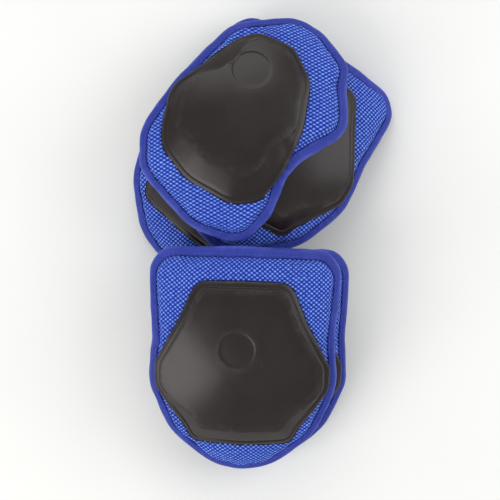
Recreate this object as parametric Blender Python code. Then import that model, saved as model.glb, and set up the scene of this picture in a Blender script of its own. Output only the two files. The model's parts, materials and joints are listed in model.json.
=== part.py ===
"""Five hard-capped protective pads (four knee pads and one elbow pad), nested in two stacks and standing free.

Units are metres, +Z up, origin at the middle of the underside of the whole set.
Every pad is a sandwich wrapped on a sphere: lining, foam core, mesh cover, edge binding, moulded cap, elastic straps with hook tabs and loop patches.
All pads of one stack are shells round one common centre, so they nest with the same gap at every angle.
"""

import math

import bpy
from mathutils import Vector

MM = 0.001

# --- stack layout -------------------------------------------------------------
INNER_RADIUS = 142.0  # radius of the face that lies against the limb, lowest pad of a stack
PITCH = 16.6  # from one pad's inner face to the next one's
UPPER_CENTRE = (-14.6, 63.4)  # plan position of the centre of the upper stack
LOWER_CENTRE = (-7.1, -51.3)  # plan position of the centre of the lower stack

# --- thickness, measured from the pad's inner face outwards --------------------
GAP = 0.3
LINING = (0.0, 0.8)
FOAM = (1.1, 6.3)
COVER_THIN = (1.1, 2.1)  # where the cover is sewn to the lining
COVER = (6.6, 7.6)
CAP_TOP = 12.3
CAP_WALL = 2.1
CAP_SEAT = COVER[1] + 0.4
BINDING_T = 1.0
BINDING_GAP = 0.5
BINDING_LIP = 8.0  # how far the binding reaches in from the edge
BINDING_OUT = 1.2  # how far it stands out past the layers
SANDWICH_INSET = 1.6
SEAM_INSET = 9.2  # start of the padded slope
FOAM_FOOT_INSET = 11.4
COVER_SHOULDER_INSET = 13.6
FOAM_SHOULDER_INSET = 14.4

# --- straps --------------------------------------------------------------------
STRAP_T = 1.3
STRAP_TOP = -1.25  # the strap lies against the lining
KNEE_STRAP_W = 25.0
ELBOW_STRAP_W = 38.0
TAB_LENGTH = 22.0
TAB_T = 1.0
TAB_TOP = -2.3
LOOP_T = 0.9
LOOP_TOP = -1.1
STRAP_END_INSET = 11.0
TAB_END_INSET = 11.5

# --- cap details ---------------------------------------------------------------
CAP_BEVEL = 4.4
CAP_SKIRT_LEAN = 0.5
KNEE_DISH_R = 12.5
ELBOW_DISH_R = 14.0
DISH_DEPTH = 0.7

SECTORS = 30

# --- flat outlines of the two pad patterns, in mm about the pad's middle --------
# (x, y, corner radius). The knee pattern is symmetrical about y.
KNEE_HALF = [
    (0.0, 83.8, 0.0),
    (66.2, 82.0, 20.0),
    (76.3, 67.0, 14.0),
    (69.2, 13.5, 60.0),
    (72.8, -24.5, 40.0),
    (56.4, -66.0, 40.0),
    (23.5, -96.4, 30.0),
    (0.0, -102.0, 0.0),
]
KNEE_CAP_HALF = [
    (0.0, 57.5, 0.0),
    (34.5, 56.6, 14.0),
    (46.0, 28.5, 20.0),
    (64.3, -6.0, 12.0),
    (63.6, -23.5, 10.0),
    (42.5, -54.0, 30.0),
    (36.5, -66.8, 7.0),
    (0.0, -68.2, 0.0),
]
ELBOW_OUTLINE = [
    (35.6, 74.6, 25.0),
    (81.9, 50.6, 25.0),
    (90.4, 28.0, 25.0),
    (89.2, -7.0, 14.0),
    (75.1, -17.8, 25.0),
    (54.1, -48.2, 22.0),
    (-0.6, -43.2, 40.0),
    (-33.2, -63.6, 25.0),
    (-64.1, -68.9, 22.0),
    (-87.8, -33.6, 40.0),
    (-92.2, 25.8, 25.0),
    (-72.3, 51.3, 25.0),
    (-31.5, 62.8, 60.0),
]
ELBOW_CAP = [
    (28.4, 57.5, 14.0),
    (43.7, 51.6, 12.0),
    (56.6, 26.6, 14.0),
    (49.0, -2.2, 18.0),
    (22.5, -26.6, 40.0),
    (-4.5, -41.5, 40.0),
    (-32.1, -49.7, 18.0),
    (-51.5, -38.5, 22.0),
    (-66.6, -3.8, 40.0),
    (-66.4, 29.0, 26.0),
    (-34.0, 59.0, 40.0),
    (-13.9, 57.7, 30.0),
]


def mirrored(half):
    """The whole outline, clockwise from the top, out of its right-hand half."""
    return half[:] + [(-x, y, r) for x, y, r in half[::-1][1:-1]]


def rounded(corners, step=1.0):
    """Dense points along a polygon whose corners are rounded by their own radius."""
    points = []
    count = len(corners)
    for i in range(count):
        x0, y0, _ = corners[i - 1]
        x1, y1, radius = corners[i]
        x2, y2, _ = corners[(i + 1) % count]
        a = Vector((x0 - x1, y0 - y1))
        b = Vector((x2 - x1, y2 - y1))
        la, lb = a.length, b.length
        a.normalize()
        b.normalize()
        angle = math.acos(max(-1.0, min(1.0, a.dot(b))))
        if radius <= 0.0 or angle > math.pi - 1e-3:
            points.append((x1, y1))
            continue
        back = min(radius / math.tan(angle / 2), 0.48 * la, 0.48 * lb)
        start = Vector((x1, y1)) + a * back
        end = Vector((x1, y1)) + b * back
        mid = Vector((x1, y1))
        steps = max(4, int(2 * back / step))
        for k in range(steps + 1):
            t = k / steps
            p = start * (1 - t) ** 2 + mid * (2 * t * (1 - t)) + end * t**2
            points.append((p.x, p.y))
    return points


def polar(points, centre, sectors, corner_weight=14.0):
    """Sectors points of a closed outline, closer together where it turns: [(radius, direction x, direction y, lean)].

    lean is the cosine between the outward normal and the direction from the centre.
    """
    cx, cy = centre
    count = len(points)
    area = sum(
        points[i][0] * points[(i + 1) % count][1] - points[(i + 1) % count][0] * points[i][1]
        for i in range(count)
    )
    if area < 0:
        points = points[::-1]
    first = max(range(count), key=lambda i: (points[i][0] - cx) - 4 * abs(points[i][1] - cy))
    points = points[first:] + points[:first]
    weight = [0.0]
    for i in range(count):
        p, q, r = points[i], points[(i + 1) % count], points[(i + 2) % count]
        length = math.hypot(q[0] - p[0], q[1] - p[1])
        turn = 0.0
        if length > 1e-6 and math.hypot(r[0] - q[0], r[1] - q[1]) > 1e-6:
            t0 = math.atan2(q[1] - p[1], q[0] - p[0])
            t1 = math.atan2(r[1] - q[1], r[0] - q[0])
            turn = abs((t1 - t0 + math.pi) % (2 * math.pi) - math.pi)
        weight.append(weight[-1] + length + corner_weight * turn)
    total = weight[-1]
    found = []
    at = 0
    for k in range(sectors):
        want = total * k / sectors
        while weight[at + 1] < want:
            at += 1
        t = (want - weight[at]) / max(1e-9, weight[at + 1] - weight[at])
        p, q = points[at % count], points[(at + 1) % count]
        found.append((p[0] + (q[0] - p[0]) * t, p[1] + (q[1] - p[1]) * t))
    result = []
    for k in range(sectors):
        p, q, r = found[k - 1], found[k], found[(k + 1) % sectors]
        dx, dy = q[0] - cx, q[1] - cy
        radius = math.hypot(dx, dy)
        dx, dy = dx / radius, dy / radius
        tx, ty = r[0] - p[0], r[1] - p[1]
        length = math.hypot(tx, ty)
        lean = (ty * dx - tx * dy) / length
        result.append((radius, dx, dy, max(0.62, lean)))
    return result


def ring(outline, centre, inset, height):
    """One ring of (x, y, height) points, this far inside the outline. Height is a number or a list."""
    cx, cy = centre
    found = []
    for k, (radius, dx, dy, lean) in enumerate(outline):
        r = radius - inset / lean
        h = height[k] if isinstance(height, list) else height
        found.append((cx + dx * r, cy + dy * r, h))
    return found


def blended(outer, centre, radius, t, height):
    """A ring between an outer ring (t = 0) and a circle round the centre (t = 1)."""
    cx, cy = centre
    found = []
    for x, y, _ in outer:
        dx, dy = x - cx, y - cy
        length = math.hypot(dx, dy)
        r = length + (radius - length) * t
        found.append((cx + dx / length * r, cy + dy / length * r, height))
    return found


def inside_depth(points, x, y):
    """Distance from a point to a closed outline."""
    best = 1e9
    count = len(points)
    for i in range(count):
        x0, y0 = points[i]
        x1, y1 = points[(i + 1) % count]
        ex, ey = x1 - x0, y1 - y0
        length = ex * ex + ey * ey
        t = 0.0 if length < 1e-12 else max(0.0, min(1.0, ((x - x0) * ex + (y - y0) * ey) / length))
        best = min(best, math.hypot(x - x0 - t * ex, y - y0 - t * ey))
    return best


def reach(points, origin, direction):
    """How far a ray from origin goes before it leaves the outline."""
    ox, oy = origin
    dx, dy = direction
    best = 0.0
    count = len(points)
    for i in range(count):
        x0, y0 = points[i]
        x1, y1 = points[(i + 1) % count]
        ex, ey = x1 - x0, y1 - y0
        det = dx * (-ey) + ex * dy
        if abs(det) < 1e-12:
            continue
        bx, by = x0 - ox, y0 - oy
        t = (bx * (-ey) + ex * by) / det
        u = (dx * by - dy * bx) / det
        if t > 0 and 0.0 <= u <= 1.0:
            best = max(best, t)
    return best


class Pad:
    """Where one pad lies: the centre and radius of its inner face, the direction of its middle, and its turn about that."""

    def __init__(self, name, kind, centre, layer, tilt, twist, straps):
        self.name = name
        self.kind = kind
        self.centre = Vector(centre)
        self.radius = INNER_RADIUS + PITCH * layer
        sx, sy = math.sin(math.radians(tilt[0])), math.sin(math.radians(tilt[1]))
        self.normal = Vector((sx, sy, math.sqrt(1 - sx * sx - sy * sy)))
        ex = Vector((1, 0, 0))
        ex = (ex - self.normal * ex.dot(self.normal)).normalized()
        ey = self.normal.cross(ex)
        turn = math.radians(twist)
        self.u = ex * math.cos(turn) + ey * math.sin(turn)
        self.v = self.normal.cross(self.u)
        self.straps = straps
        self.edge = rounded(mirrored(KNEE_HALF) if kind == "knee" else ELBOW_OUTLINE)
        self.cap_edge = rounded(mirrored(KNEE_CAP_HALF) if kind == "knee" else ELBOW_CAP)
        self.outline = polar(self.edge, (0.0, 0.0), SECTORS)
        self.dish = (-3.0, 9.0, KNEE_DISH_R) if kind == "knee" else (19.0, 30.0, ELBOW_DISH_R)
        self.cap_outline = polar(self.cap_edge, self.dish[:2], SECTORS, 10.0)

    def at(self, x, y, h):
        """World point of flat position (x, y) at height h above the inner face, in mm."""
        length = math.hypot(x, y)
        radial = self.radius + h
        if length < 1e-9:
            return self.centre + self.normal * radial
        angle = length / self.radius
        across = (self.u * x + self.v * y) / length
        return self.centre + (self.normal * math.cos(angle) + across * math.sin(angle)) * radial

    def lowest(self):
        return min(
            self.at(*p).z
            for inset in (-BINDING_OUT, BINDING_LIP)
            for h in (LINING[0] - BINDING_GAP - BINDING_T, COVER_THIN[1])
            for p in ring(self.outline, (0.0, 0.0), inset, h)
        )


def finished(name, points, triangles, material, smooth_angle):
    """An object out of world points in mm and triangles, turned to face outwards."""
    volume = 0.0
    for a, b, c in triangles:
        volume += points[a].dot(points[b].cross(points[c]))
    if volume < 0:
        triangles = [(a, c, b) for a, b, c in triangles]
    mesh = bpy.data.meshes.new(name)
    mesh.from_pydata([p * MM for p in points], [], triangles)
    mesh.polygons.foreach_set("use_smooth", [True] * len(mesh.polygons))
    mesh.set_sharp_from_angle(angle=math.radians(smooth_angle))
    mesh.materials.append(material)
    mesh.update()
    obj = bpy.data.objects.new(name, mesh)
    bpy.context.scene.collection.objects.link(obj)
    return obj


def dish_solid(name, pad, top, top_middle, bottom, bottom_middle, material, smooth_angle=40.0):
    """A closed sheet: rings of the top face and of the bottom face, each listed from the middle outwards."""
    points = []
    triangles = []

    def add(r):
        base = len(points)
        points.extend(pad.at(*p) for p in r)
        return base

    def face(rings, middle, up):
        bases = [add(r) for r in rings]
        hub = len(points)
        points.append(pad.at(*middle))
        for k in range(SECTORS):
            n = (k + 1) % SECTORS
            tri = (hub, bases[0] + k, bases[0] + n)
            triangles.append(tri if up else tri[::-1])
        for inner, outer in zip(bases, bases[1:]):
            for k in range(SECTORS):
                n = (k + 1) % SECTORS
                one = (inner + k, outer + k, outer + n)
                two = (inner + k, outer + n, inner + n)
                triangles.append(one if up else one[::-1])
                triangles.append(two if up else two[::-1])
        return bases[-1]

    a = face(top, top_middle, True)
    b = face(bottom, bottom_middle, False)
    for k in range(SECTORS):
        n = (k + 1) % SECTORS
        triangles.append((a + k, b + k, b + n))
        triangles.append((a + k, b + n, a + n))
    return finished(name, points, triangles, material, smooth_angle)


def band_solid(name, pad, profile, material, smooth_angle=40.0):
    """A closed band: rings that follow one another round its section."""
    points = []
    triangles = []
    for r in profile:
        points.extend(pad.at(*p) for p in r)
    count = len(profile)
    for s in range(count):
        a, b = s * SECTORS, ((s + 1) % count) * SECTORS
        for k in range(SECTORS):
            n = (k + 1) % SECTORS
            triangles.append((a + k, b + k, b + n))
            triangles.append((a + k, b + n, a + n))
    return finished(name, points, triangles, material, smooth_angle)


def strip_solid(name, pad, start, end, width, low, high, segments, material):
    """A flat strip along the line from start to end, following the pad's curve."""
    sx, sy = start
    ex, ey = end
    length = math.hypot(ex - sx, ey - sy)
    dx, dy = (ex - sx) / length, (ey - sy) / length
    px, py = -dy * width / 2, dx * width / 2
    points = []
    triangles = []
    for k in range(segments + 1):
        t = k / segments
        x, y = sx + (ex - sx) * t, sy + (ey - sy) * t
        points.extend(
            (
                pad.at(x - px, y - py, low),
                pad.at(x + px, y + py, low),
                pad.at(x + px, y + py, high),
                pad.at(x - px, y - py, high),
            )
        )
    for k in range(segments):
        a, b = 4 * k, 4 * (k + 1)
        for i in range(4):
            j = (i + 1) % 4
            triangles.append((a + i, b + i, b + j))
            triangles.append((a + i, b + j, a + j))
    last = 4 * segments
    triangles.extend(((0, 1, 2), (0, 2, 3), (last + 2, last + 1, last), (last + 3, last + 2, last)))
    return finished(name, points, triangles, material, 30.0)


def principled(name, colour, roughness, sheen=0.0):
    material = bpy.data.materials.new(name)
    material.use_nodes = True
    shader = material.node_tree.nodes["Principled BSDF"]
    shader.inputs["Base Color"].default_value = (*colour, 1.0)
    shader.inputs["Roughness"].default_value = roughness
    shader.inputs["Metallic"].default_value = 0.0
    shader.inputs["Sheen Weight"].default_value = sheen
    material.diffuse_color = (*colour, 1.0)
    return material


def build_pad(pad):
    name = pad.name
    origin = (0.0, 0.0)

    def soft_rings(first, h):
        """The inner rings that all the soft layers share, so that their faces stay parallel."""
        foot = ring(pad.outline, origin, FOAM_FOOT_INSET, h)
        inner = [[(x * f, y * f, h) for x, y, _ in foot] for f in (0.33, 0.67)]
        return inner + first

    def at_inset(*pairs):
        return [ring(pad.outline, origin, inset, h) for inset, h in pairs]

    lining = principled(name + "_lining_knit", (0.018, 0.02, 0.028), 0.9, 0.3)
    foam = principled(name + "_foam_eva", (0.09, 0.09, 0.095), 0.95)
    mesh = principled(name + "_cover_mesh", (0.10, 0.20, 0.62), 0.8, 0.3)
    tape = principled(name + "_binding_tape", (0.035, 0.05, 0.45), 0.6, 0.3)
    plastic = principled(name + "_cap_plastic", (0.030, 0.026, 0.026), 0.33)
    elastic = principled(name + "_strap_elastic", (0.012, 0.012, 0.014), 0.85, 0.2)
    hook = principled(name + "_tab_hook", (0.010, 0.010, 0.011), 0.7)
    loop = principled(name + "_loop_pile", (0.014, 0.014, 0.016), 0.95, 0.5)

    dish_solid(
        name + "_back_lining",
        pad,
        soft_rings(at_inset((FOAM_FOOT_INSET, LINING[1]), (SANDWICH_INSET, LINING[1])), LINING[1]),
        (0.0, 0.0, LINING[1]),
        soft_rings(at_inset((FOAM_FOOT_INSET, LINING[0]), (SANDWICH_INSET, LINING[0])), LINING[0]),
        (0.0, 0.0, LINING[0]),
        lining,
    )
    dish_solid(
        name + "_foam_core",
        pad,
        soft_rings(at_inset((FOAM_SHOULDER_INSET, FOAM[1])), FOAM[1]),
        (0.0, 0.0, FOAM[1]),
        soft_rings(at_inset((FOAM_FOOT_INSET, FOAM[0])), FOAM[0]),
        (0.0, 0.0, FOAM[0]),
        foam,
    )
    dish_solid(
        name + "_mesh_cover",
        pad,
        soft_rings(
            at_inset(
                (COVER_SHOULDER_INSET, COVER[1]),
                (SEAM_INSET, COVER_THIN[1]),
                (SANDWICH_INSET, COVER_THIN[1]),
            ),
            COVER[1],
        ),
        (0.0, 0.0, COVER[1]),
        soft_rings(
            at_inset(
                (COVER_SHOULDER_INSET + 0.2, COVER[0]),
                (SEAM_INSET + 0.4, COVER_THIN[0]),
                (SANDWICH_INSET, COVER_THIN[0]),
            ),
            COVER[0],
        ),
        (0.0, 0.0, COVER[0]),
        mesh,
    )

    low_in, low_out = LINING[0] - BINDING_GAP, LINING[0] - BINDING_GAP - BINDING_T
    high_in, high_out = COVER_THIN[1] + BINDING_GAP, COVER_THIN[1] + BINDING_GAP + BINDING_T
    wall_in = SANDWICH_INSET - GAP
    band_solid(
        name + "_edge_binding",
        pad,
        at_inset(
            (BINDING_LIP, high_in),
            (BINDING_LIP, high_out),
            (0.6, high_out),
            (-BINDING_OUT + 0.9, (high_out + low_out) / 2 + 1.4),
            (-BINDING_OUT + 0.9, (high_out + low_out) / 2 - 1.4),
            (0.6, low_out),
            (BINDING_LIP, low_out),
            (BINDING_LIP, low_in),
            (wall_in, low_in),
            (wall_in, high_in),
        ),
        tape,
        50.0,
    )

    # The cap's skirt follows the padded slope down where the cap runs out to the binding.
    dx, dy, dish_r = pad.dish
    centre = (dx, dy)
    def seats_at(inset):
        """Height of the cap's foot at each sector, this far inside the cap's edge."""
        points = ring(pad.cap_outline, centre, inset, 0.0)
        heights = []
        for k in range(SECTORS):
            x, y, _ = points[k]
            x2, y2, _ = points[(k + 1) % SECTORS]
            x0, y0, _ = points[k - 1]
            depth = max(
                inside_depth(pad.edge, px, py)
                for px, py in ((x, y), ((x + x2) / 2, (y + y2) / 2), ((x + x0) / 2, (y + y0) / 2))
            )
            t = (depth - BINDING_LIP - 0.6) / (COVER_SHOULDER_INSET - 2.6 - BINDING_LIP - 0.6)
            heights.append(high_out + 0.7 + (CAP_SEAT - high_out - 0.7) * max(0.0, min(1.0, t)))
        return heights

    seats = seats_at(0.0)
    inner_seats = seats_at(CAP_WALL)
    rim = ring(pad.cap_outline, centre, 0.0, seats)
    shoulder = ring(pad.cap_outline, centre, CAP_SKIRT_LEAN, 10.3)
    bevel = ring(pad.cap_outline, centre, CAP_BEVEL, 11.9)
    inner_rim = ring(pad.cap_outline, centre, CAP_WALL, inner_seats)
    inner_shoulder = ring(pad.cap_outline, centre, CAP_WALL + 2.4, CAP_TOP - CAP_WALL - 0.2)
    floor = CAP_TOP - DISH_DEPTH
    dish_solid(
        name + "_cap",
        pad,
        [
            blended(bevel, centre, dish_r - 1.4, 1.0, floor),
            blended(bevel, centre, dish_r, 1.0, CAP_TOP),
            blended(bevel, centre, dish_r, 0.62, CAP_TOP),
            blended(bevel, centre, dish_r, 0.30, CAP_TOP - 0.05),
            bevel,
            shoulder,
            rim,
        ],
        (dx, dy, floor),
        [
            blended(bevel, centre, dish_r, 1.0, CAP_TOP - CAP_WALL),
            blended(bevel, centre, dish_r, 0.62, CAP_TOP - CAP_WALL),
            blended(bevel, centre, dish_r, 0.30, CAP_TOP - CAP_WALL - 0.05),
            inner_shoulder,
            inner_rim,
        ],
        (dx, dy, CAP_TOP - CAP_WALL),
        plastic,
        35.0,
    )

    for label, (x, y), (ux, uy), width in pad.straps:
        half = width / 2
        # The narrower side of the pad decides, at the strap's edges as at its middle.
        forward = min(reach(pad.edge, (x - uy * s, y + ux * s), (ux, uy)) for s in (-half, 0.0, half))
        back = min(reach(pad.edge, (x - uy * s, y + ux * s), (-ux, -uy)) for s in (-half, 0.0, half))
        tip = forward - TAB_END_INSET
        root = tip - TAB_LENGTH
        suffix = "_" + label if label else ""
        strip_solid(
            name + "_strap" + suffix,
            pad,
            (x - ux * (back - STRAP_END_INSET), y - uy * (back - STRAP_END_INSET)),
            (x + ux * root, y + uy * root),
            width,
            STRAP_TOP - STRAP_T,
            STRAP_TOP,
            10,
            elastic,
        )
        tab = strip_solid(
            name + "_hook_tab" + suffix,
            pad,
            (x + ux * (root + 0.4), y + uy * (root + 0.4)),
            (x + ux * tip, y + uy * tip),
            width - 1.0,
            TAB_TOP - TAB_T,
            TAB_TOP,
            3,
            hook,
        )
        set_origin(tab, pad.at(x + ux * (root + 0.2), y + uy * (root + 0.2), TAB_TOP - TAB_T / 2) * MM)
        strip_solid(
            name + "_loop_patch" + suffix,
            pad,
            (x + ux * (root + 0.6), y + uy * (root + 0.6)),
            (x + ux * (tip + 1.0), y + uy * (tip + 1.0)),
            width,
            LOOP_TOP - LOOP_T,
            LOOP_TOP,
            3,
            loop,
        )


def set_origin(obj, where):
    """Moves the object's origin there and leaves its shape in place."""
    for vertex in obj.data.vertices:
        vertex.co -= where
    obj.location = where


def knee_straps(side):
    """Two straps across a knee pad. The hook tabs lie on this side, 1 right or -1 left."""
    return [
        ("upper", (0.0, 46.0), (side, 0.0), KNEE_STRAP_W),
        ("lower", (0.0, -30.0), (side, 0.0), KNEE_STRAP_W),
    ]


def main():
    for obj in list(bpy.data.objects):
        bpy.data.objects.remove(obj, do_unlink=True)

    # name, pattern, stack, layer, tilt of the middle about the stack's centre (deg), turn (deg), straps
    layout = [
        ("base_knee_pad", "knee", UPPER_CENTRE, 0, (-1.5, -0.5), -41.0, knee_straps(1)),
        ("middle_knee_pad", "knee", UPPER_CENTRE, 1, (11.3, 6.5), -28.0, knee_straps(1)),
        ("top_elbow_pad", "elbow", UPPER_CENTRE, 2, (3.3, 8.8), 37.4, [("", (-24.0, 0.0), (0.0, 1.0), ELBOW_STRAP_W)]),
        ("under_knee_pad", "knee", LOWER_CENTRE, 0, (1.0, -14.5), -1.0, knee_straps(1)),
        ("front_knee_pad", "knee", LOWER_CENTRE, 1, (-2.7, -12.8), -1.2, knee_straps(-1)),
    ]
    pads = []
    for stack in (UPPER_CENTRE, LOWER_CENTRE):
        members = [Pad(n, k, (*c, 0.0), layer, tilt, twist, straps) for n, k, c, layer, tilt, twist, straps in layout if c is stack]
        drop = min(p.lowest() for p in members)
        for p in members:
            p.centre.z -= drop
        pads.extend(members)
    for pad in pads:
        build_pad(pad)

    # The origin is the middle of the underside of everything.
    bpy.context.view_layer.update()
    low = [math.inf] * 3
    high = [-math.inf] * 3
    for obj in bpy.data.objects:
        for vertex in obj.data.vertices:
            p = obj.matrix_world @ vertex.co
            for i in range(3):
                low[i] = min(low[i], p[i])
                high[i] = max(high[i], p[i])
    shift = Vector(((low[0] + high[0]) / 2, (low[1] + high[1]) / 2, low[2]))
    for obj in bpy.data.objects:
        obj.location -= shift
    print("shift", [round(x * 1000, 3) for x in shift], "sizes", [round((high[i] - low[i]) * 1000, 1) for i in range(3)])
    for pad in pads:
        print(pad.name, "centre", [round(x, 3) for x in pad.centre], "normal", [round(x, 4) for x in pad.normal])


main()
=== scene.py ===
"""The looks of the nested knee and elbow pads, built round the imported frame.

Each pad is a sandwich on a sphere: flat pattern coordinates (x, y) in mm and a height h above its inner face.
Lengths in this file are in mm until a mesh is made.
"""

import json
import math

import bpy
import numpy as np
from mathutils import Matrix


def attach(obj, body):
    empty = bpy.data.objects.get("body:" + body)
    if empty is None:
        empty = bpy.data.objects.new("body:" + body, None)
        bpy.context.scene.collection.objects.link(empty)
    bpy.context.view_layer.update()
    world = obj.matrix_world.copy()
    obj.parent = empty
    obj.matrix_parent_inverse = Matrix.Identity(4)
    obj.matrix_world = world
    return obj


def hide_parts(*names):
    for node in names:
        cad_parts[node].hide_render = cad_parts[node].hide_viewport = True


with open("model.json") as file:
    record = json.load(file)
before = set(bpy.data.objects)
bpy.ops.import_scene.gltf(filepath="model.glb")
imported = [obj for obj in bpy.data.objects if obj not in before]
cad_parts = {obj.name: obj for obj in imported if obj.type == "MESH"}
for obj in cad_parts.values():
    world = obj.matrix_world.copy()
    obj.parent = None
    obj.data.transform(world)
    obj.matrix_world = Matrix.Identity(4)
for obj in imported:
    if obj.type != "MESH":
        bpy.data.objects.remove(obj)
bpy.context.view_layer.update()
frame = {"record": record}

MM = 0.001
TAU = 2 * math.pi

# --- the frame's own dimensions, as in the solids -------------------------------
INNER_RADIUS, PITCH = 142.0, 16.6
REAR_CENTRE = (-16.079, 63.327, -100.636)
FRONT_CENTRE = (-8.579, -51.373, -80.653)
COVER_THIN, COVER_TOP = 2.1, 7.6
BINDING_TOP = 3.6
CAP_SEAT, CAP_TOP, CAP_WALL = 8.0, 12.3, 2.1
STRAP_T, STRAP_TOP = 1.3, -1.25
TAB_LENGTH, TAB_T, TAB_TOP = 22.0, 1.0, -2.3
LOOP_T, LOOP_TOP = 0.9, -1.1
STRAP_END_INSET, TAB_END_INSET = 11.0, 11.5
KNEE_STRAP_W, ELBOW_STRAP_W = 25.0, 38.0

KNEE_HALF = [
    (0.0, 83.8, 0.0), (66.2, 82.0, 20.0), (76.3, 67.0, 14.0), (69.2, 13.5, 60.0), (72.8, -24.5, 40.0),
    (56.4, -66.0, 40.0), (23.5, -96.4, 30.0), (0.0, -102.0, 0.0),
]
KNEE_CAP_HALF = [
    (0.0, 57.5, 0.0), (34.5, 56.6, 14.0), (46.0, 28.5, 20.0), (64.3, -6.0, 12.0),
    (63.6, -23.5, 10.0), (42.5, -54.0, 30.0), (36.5, -66.8, 7.0), (0.0, -68.2, 0.0),
]
ELBOW_OUTLINE = [
    (35.6, 74.6, 25.0), (81.9, 50.6, 25.0), (90.4, 28.0, 25.0), (89.2, -7.0, 14.0), (75.1, -17.8, 25.0),
    (54.1, -48.2, 22.0), (-0.6, -43.2, 40.0), (-33.2, -63.6, 25.0), (-64.1, -68.9, 22.0), (-87.8, -33.6, 40.0),
    (-92.2, 25.8, 25.0), (-72.3, 51.3, 25.0), (-31.5, 62.8, 60.0),
]
ELBOW_CAP = [
    (28.4, 57.5, 14.0), (43.7, 51.6, 12.0), (56.6, 26.6, 14.0), (49.0, -2.2, 18.0), (22.5, -26.6, 40.0),
    (-4.5, -41.5, 40.0), (-32.1, -49.7, 18.0), (-51.5, -38.5, 22.0), (-66.6, -3.8, 40.0), (-66.4, 29.0, 26.0),
    (-34.0, 59.0, 40.0), (-13.9, 57.7, 30.0),
]


# --- small maths ----------------------------------------------------------------
def smooth(t):
    t = np.clip(t, 0.0, 1.0)
    return t * t * (3 - 2 * t)


def mirrored(half):
    return half[:] + [(-x, y, r) for x, y, r in half[::-1][1:-1]]


def rounded(corners, step=1.0):
    """Dense points along a polygon with rounded corners, as the solids have it."""
    points = []
    count = len(corners)
    for i in range(count):
        p0 = np.array(corners[i - 1][:2])
        p1 = np.array(corners[i][:2])
        p2 = np.array(corners[(i + 1) % count][:2])
        radius = corners[i][2]
        a, b = p0 - p1, p2 - p1
        la, lb = np.linalg.norm(a), np.linalg.norm(b)
        a, b = a / la, b / lb
        angle = math.acos(max(-1.0, min(1.0, float(a @ b))))
        if radius <= 0.0 or angle > math.pi - 1e-3:
            points.append(p1)
            continue
        back = min(radius / math.tan(angle / 2), 0.48 * la, 0.48 * lb)
        start, end = p1 + a * back, p1 + b * back
        steps = max(4, int(2 * back / step))
        for k in range(steps + 1):
            t = k / steps
            points.append(start * (1 - t) ** 2 + p1 * (2 * t * (1 - t)) + end * t**2)
    return np.array(points)


def around(values, sigma):
    """Smooths a closed run of values, sigma in samples."""
    reach_ = int(3 * sigma) + 1
    weights = np.exp(-0.5 * (np.arange(-reach_, reach_ + 1) / sigma) ** 2)
    weights /= weights.sum()
    out = np.zeros_like(values)
    for w, k in zip(weights, range(-reach_, reach_ + 1)):
        out += w * np.roll(values, k, axis=0)
    return out


def even(points, count):
    """Count points at equal distances along a closed line, anticlockwise."""
    x, y = points[:, 0], points[:, 1]
    if (x * np.roll(y, -1) - np.roll(x, -1) * y).sum() < 0:
        points = points[::-1]
    closed = np.vstack([points, points[:1]])
    length = np.concatenate([[0], np.cumsum(np.linalg.norm(np.diff(closed, axis=0), axis=1))])
    want = np.linspace(0, length[-1], count, endpoint=False)
    return np.stack([np.interp(want, length, closed[:, i]) for i in (0, 1)], axis=1), length[-1]


def noise(x, y, scale, seed, waves=9):
    """Smooth, repeatable unevenness of about -1 to 1 over lengths of about scale."""
    rng = np.random.RandomState(seed)
    total = np.zeros(np.broadcast(x, y).shape)
    for _ in range(waves):
        angle, phase = rng.uniform(0, TAU, 2)
        k = TAU / (scale * rng.uniform(0.7, 1.6))
        total += np.sin(k * (x * math.cos(angle) + y * math.sin(angle)) + phase)
    return total / math.sqrt(waves / 2) * 0.6


def reach(points, origin, direction):
    """How far a ray goes before it leaves the outline."""
    o, d = np.array(origin), np.array(direction)
    p, q = points, np.roll(points, -1, axis=0)
    e, b = q - p, p - o
    det = -d[0] * e[:, 1] + e[:, 0] * d[1]
    det = np.where(abs(det) < 1e-12, 1e-12, det)
    t = (-b[:, 0] * e[:, 1] + e[:, 0] * b[:, 1]) / det
    u = (d[0] * b[:, 1] - d[1] * b[:, 0]) / det
    return float(t[(t > 0) & (u >= 0) & (u <= 1)].max())


class Rays:
    """A closed outline as seen from a point inside it: direction, distance and lean of each of its sectors."""

    def __init__(self, edge, centre, count):
        self.centre = np.array(centre, float)
        self.points, self.length = even(edge, count)
        self.count = count
        d = self.points - self.centre
        self.radius = np.linalg.norm(d, axis=1)
        self.dir = d / self.radius[:, None]
        t = np.roll(self.points, -1, axis=0) - np.roll(self.points, 1, axis=0)
        t /= np.linalg.norm(t, axis=1)[:, None]
        lean = t[:, 1] * self.dir[:, 0] - t[:, 0] * self.dir[:, 1]
        self.lean = around(np.clip(lean, 0.62, 1.0), count * 3.0 / self.length)
        self.angle = np.arctan2(d[:, 1], d[:, 0])
        self.along = np.arange(count) * self.length / count

    def ring(self, inset):
        """(x, y) of a ring this far inside the outline. inset is a number or one for each sector."""
        r = self.radius - inset / self.lean
        return self.centre + self.dir * r[:, None]

    def at_angle(self, angle, values):
        order = np.argsort(self.angle)
        a, v = self.angle[order], values[order]
        a = np.concatenate([a[-3:] - TAU, a, a[:3] + TAU])
        v = np.concatenate([v[-3:], v, v[:3]])
        return np.interp(angle, a, v)


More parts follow.
